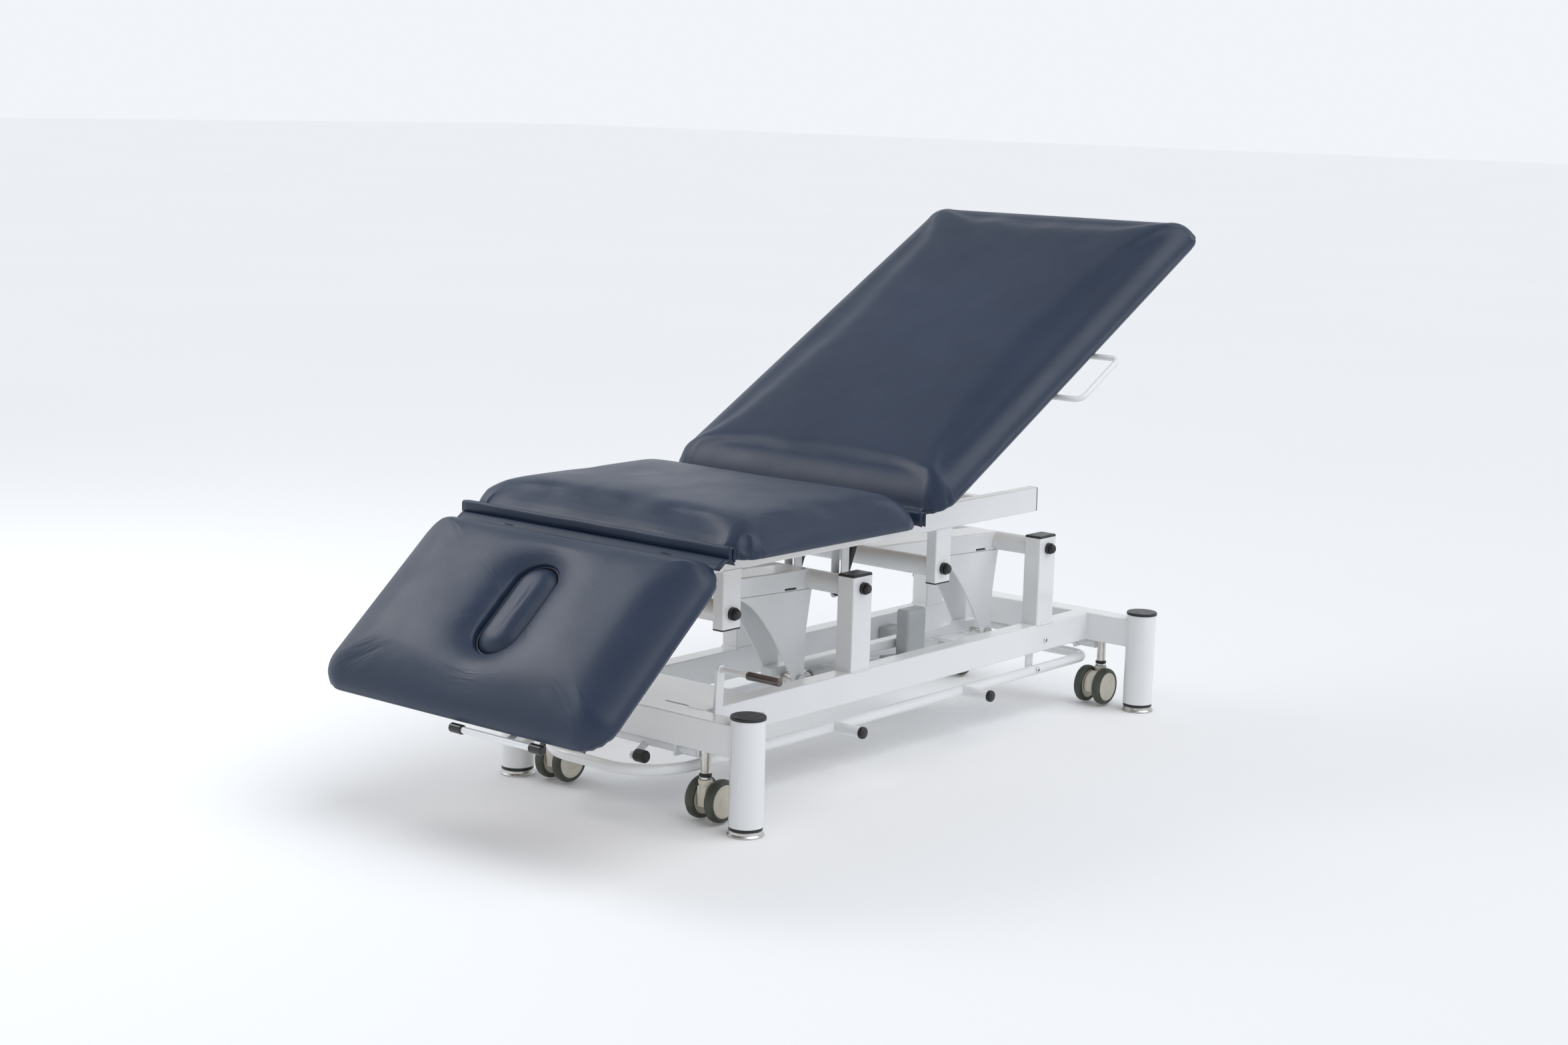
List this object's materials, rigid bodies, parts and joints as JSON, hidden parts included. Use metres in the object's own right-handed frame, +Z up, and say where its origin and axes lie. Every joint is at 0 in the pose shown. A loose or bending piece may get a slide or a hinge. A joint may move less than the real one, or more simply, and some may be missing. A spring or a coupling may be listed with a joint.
{
  "type": "examination couch",
  "caption": "Three-section padded examination couch with face opening, on a parallelogram height-adjusting base with foot bar, levelling feet and lever-lowered casters.",
  "frame": {"origin": "on the floor at the middle of the base, midway between the four feet", "axes": "+X along the couch towards the raised long section, +Y across it away from the operator's side, +Z up"},
  "size_m": [1.864, 0.751, 1.0774],
  "materials": {
    "white_paint": "glossy white powder coat",
    "black_plastic": "satin black moulding",
    "steel": "zinc plated or stainless steel",
    "chrome": "polished piston rod",
    "vinyl": "smooth slate blue upholstery vinyl over foam",
    "plywood": "birch plywood",
    "grey_plastic": "light grey moulding",
    "ivory_plastic": "ivory nylon",
    "wheel": "olive grey tread on an ivory core",
    "grip_plastic": "brown grey translucent grip",
    "grip_vinyl": "glossy black dipped vinyl"
  },
  "bodies": {
    "base": {"leg_posts": "white_paint", "base_tube_caps": "black_plastic", "leg_rings": "black_plastic", "leg_glides": "steel", "base_beams": "white_paint", "base_rails": "white_paint", "uprights": "white_paint", "base_pivot_bolts": "black_plastic", "head_cover_plate": "white_paint", "control_box": "grey_plastic", "actuator_bracket": "white_paint"},
    "lift_arm_head": {"lift_arm_head": "white_paint", "lever_pin_head": "steel"},
    "lift_arm_foot": {"lift_arm_foot": "white_paint", "lever_pin_foot": "steel"},
    "link_bar": {"link_bar": "white_paint"},
    "actuator_rod": {"actuator_rod": "steel"},
    "actuator_body": {"actuator_tube": "grey_plastic", "actuator_motor": "grey_plastic"},
    "upper_frame": {"upper_rails": "white_paint", "hangers": "white_paint", "upper_end_caps": "black_plastic", "upper_pivot_bolts": "black_plastic", "upper_cross_members": "white_paint", "seat_board": "plywood", "seat_pad": "vinyl", "gap_strips": "vinyl"},
    "head_section": {"head_frame": "white_paint", "head_board": "plywood", "head_pad": "vinyl"},
    "face_plug": {"face_plug": "vinyl"},
    "head_release": {"head_release": "white_paint", "head_release_grips": "grip_vinyl"},
    "long_section": {"long_frame": "white_paint", "long_board": "plywood", "long_pad": "vinyl"},
    "long_release": {"long_release": "white_paint"},
    "long_strut_tube_near": {"long_strut_tube_near": "black_plastic"},
    "long_strut_rod_near": {"long_strut_rod_near": "chrome"},
    "long_strut_tube_far": {"long_strut_tube_far": "black_plastic"},
    "long_strut_rod_far": {"long_strut_rod_far": "chrome"},
    "head_strut_tube": {"head_strut_tube": "black_plastic"},
    "head_strut_rod": {"head_strut_rod": "chrome"},
    "foot_bar": {"foot_bar_sides": "white_paint", "foot_bar_bow_head": "white_paint", "foot_bar_bow_foot": "white_paint", "foot_bar_pegs": "white_paint"},
    "caster_lift_head": {"caster_lift_lever": "white_paint", "caster_lever_grip": "grip_plastic", "caster_pedal_knob": "black_plastic"},
    "caster_lift_foot": {"caster_shaft_foot": "white_paint"},
    "caster_stems": {"caster_stems": "steel"},
    "caster_fork_a": {"caster_fork_a": "ivory_plastic"},
    "caster_wheels_a": {"caster_wheels_a": "wheel"},
    "caster_fork_b": {"caster_fork_b": "ivory_plastic"},
    "caster_wheels_b": {"caster_wheels_b": "wheel"},
    "caster_fork_c": {"caster_fork_c": "ivory_plastic"},
    "caster_wheels_c": {"caster_wheels_c": "wheel"},
    "caster_fork_d": {"caster_fork_d": "ivory_plastic"},
    "caster_wheels_d": {"caster_wheels_d": "wheel"}
  },
  "joints": [
    {"name": "lift", "type": "hinge", "parent": "base", "child": "lift_arm_head", "pos_m": [-0.175, 0, 0.365], "axis": [0, 1, 0], "range_deg": [-8, 44]},
    {"name": "lift_follow", "type": "hinge", "parent": "base", "child": "lift_arm_foot", "pos_m": [0.465, 0, 0.365], "axis": [0, 1, 0], "range_deg": [-8, 44]},
    {"name": "link_level", "type": "hinge", "parent": "lift_arm_head", "child": "link_bar", "pos_m": [-0.205, 0, 0.167], "axis": [0, 1, 0], "range_deg": [-44, 8]},
    {"name": "frame_level", "type": "hinge", "parent": "lift_arm_head", "child": "upper_frame", "pos_m": [-0.61, 0, 0.3835], "axis": [0, 1, 0], "range_deg": [-44, 8]},
    {"name": "actuator_tilt", "type": "hinge", "parent": "lift_arm_head", "child": "actuator_rod", "pos_m": [-0.205, 0, 0.167], "axis": [0, 1, 0], "range_deg": [-40, 8]},
    {"name": "actuator_stroke", "type": "slide", "parent": "actuator_rod", "child": "actuator_body", "axis": [0.9955, 0, -0.095], "range_m": [-0.03, 0.15]},
    {"name": "head_tilt", "type": "hinge", "parent": "upper_frame", "child": "head_section", "pos_m": [-0.765, 0, 0.505], "axis": [0, 1, 0], "range_deg": [0, 74]},
    {"name": "long_tilt", "type": "hinge", "parent": "upper_frame", "child": "long_section", "pos_m": [-0.18, 0, 0.495], "axis": [0, -1, 0], "range_deg": [-29, 31]},
    {"name": "head_strut_swing", "type": "hinge", "parent": "upper_frame", "child": "head_strut_tube", "pos_m": [-0.71466, 0, 0.42444], "axis": [0, 1, 0], "range_deg": [0, 37]},
    {"name": "head_strut_extend", "type": "hinge", "parent": "head_section", "child": "head_strut_rod", "pos_m": [-0.82478, 0, 0.43117], "axis": [0, 1, 0], "range_deg": [-37, 0]},
    {"name": "long_strut_swing_near", "type": "hinge", "parent": "upper_frame", "child": "long_strut_tube_near", "pos_m": [-0.11482, -0.06, 0.33367], "axis": [0, -1, 0], "range_deg": [-14.5, 15.5]},
    {"name": "long_strut_extend_near", "type": "hinge", "parent": "long_section", "child": "long_strut_rod_near", "pos_m": [-0.01756, -0.06, 0.55736], "axis": [0, -1, 0], "range_deg": [-15.5, 14.5]},
    {"name": "long_strut_swing_far", "type": "hinge", "parent": "upper_frame", "child": "long_strut_tube_far", "pos_m": [-0.11482, 0.06, 0.33367], "axis": [0, -1, 0], "range_deg": [-14.5, 15.5]},
    {"name": "long_strut_extend_far", "type": "hinge", "parent": "long_section", "child": "long_strut_rod_far", "pos_m": [-0.01756, 0.06, 0.55736], "axis": [0, -1, 0], "range_deg": [-15.5, 14.5]},
    {"name": "face_plug_pull", "type": "slide", "parent": "head_section", "child": "face_plug", "axis": [-0.6561, 0, 0.7547], "range_m": [0, 0.08]},
    {"name": "head_release_squeeze", "type": "hinge", "parent": "head_section", "child": "head_release", "pos_m": [-1.05297, 0, 0.23877], "axis": [0, -1, 0], "range_deg": [0, 12], "stiffness_Nm_per_rad": 3, "springref_deg": -14.32},
    {"name": "long_release_squeeze", "type": "hinge", "parent": "long_section", "child": "long_release", "pos_m": [0.27822, -0.225, 0.76157], "axis": [0.8746, 0, 0.4848], "range_deg": [0, 12], "stiffness_Nm_per_rad": 8, "springref_deg": -14.32},
    {"name": "foot_bar_rock", "type": "hinge", "parent": "base", "child": "foot_bar", "pos_m": [0, 0, 0.101], "axis": [1, 0, 0], "range_deg": [-1.8, 1.8], "stiffness_Nm_per_rad": 400},
    {"name": "caster_lift", "type": "hinge", "parent": "base", "child": "caster_lift_head", "pos_m": [-0.656, 0, 0.13], "axis": [0, 1, 0], "range_deg": [0, 40]},
    {"name": "caster_lift_follow", "type": "hinge", "parent": "base", "child": "caster_lift_foot", "pos_m": [0.656, 0, 0.13], "axis": [0, 1, 0], "range_deg": [0, 40]},
    {"name": "caster_drop", "type": "slide", "parent": "base", "child": "caster_stems", "axis": [0, 0, -1], "range_m": [0, 0.0155]},
    {"name": "caster_swivel_a", "type": "hinge", "parent": "caster_stems", "child": "caster_fork_a", "pos_m": [-0.656, -0.192, 0.07], "axis": [0, 0, 1], "continuous": true},
    {"name": "caster_spin_a", "type": "hinge", "parent": "caster_fork_a", "child": "caster_wheels_a", "pos_m": [-0.638, -0.192, 0.043], "axis": [0, 1, 0], "continuous": true},
    {"name": "caster_swivel_b", "type": "hinge", "parent": "caster_stems", "child": "caster_fork_b", "pos_m": [0.656, -0.192, 0.07], "axis": [0, 0, 1], "continuous": true},
    {"name": "caster_spin_b", "type": "hinge", "parent": "caster_fork_b", "child": "caster_wheels_b", "pos_m": [0.638, -0.192, 0.043], "axis": [0, 1, 0], "continuous": true},
    {"name": "caster_swivel_c", "type": "hinge", "parent": "caster_stems", "child": "caster_fork_c", "pos_m": [-0.656, 0.192, 0.07], "axis": [0, 0, 1], "continuous": true},
    {"name": "caster_spin_c", "type": "hinge", "parent": "caster_fork_c", "child": "caster_wheels_c", "pos_m": [-0.638, 0.192, 0.043], "axis": [0, 1, 0], "continuous": true},
    {"name": "caster_swivel_d", "type": "hinge", "parent": "caster_stems", "child": "caster_fork_d", "pos_m": [0.656, 0.192, 0.07], "axis": [0, 0, 1], "continuous": true},
    {"name": "caster_spin_d", "type": "hinge", "parent": "caster_fork_d", "child": "caster_wheels_d", "pos_m": [0.638, 0.192, 0.043], "axis": [0, 1, 0], "continuous": true}
  ],
  "couplings": [
    {"joint": "lift_follow", "follows": "lift", "ratio": 1},
    {"joint": "link_level", "follows": "lift", "ratio": -1},
    {"joint": "frame_level", "follows": "lift", "ratio": -1},
    {"joint": "actuator_tilt", "follows": "lift", "ratio": -0.8763},
    {"joint": "actuator_stroke", "follows": "lift", "m_per_rad": 0.18898},
    {"joint": "head_strut_swing", "follows": "head_tilt", "ratio": 0.5},
    {"joint": "head_strut_extend", "follows": "head_tilt", "ratio": -0.5},
    {"joint": "long_strut_swing_near", "follows": "long_tilt", "ratio": 0.5},
    {"joint": "long_strut_extend_near", "follows": "long_tilt", "ratio": -0.5},
    {"joint": "long_strut_swing_far", "follows": "long_tilt", "ratio": 0.5},
    {"joint": "long_strut_extend_far", "follows": "long_tilt", "ratio": -0.5},
    {"joint": "caster_lift_follow", "follows": "caster_lift", "ratio": 1},
    {"joint": "caster_drop", "follows": "caster_lift", "m_per_rad": 0.0215}
  ]
}
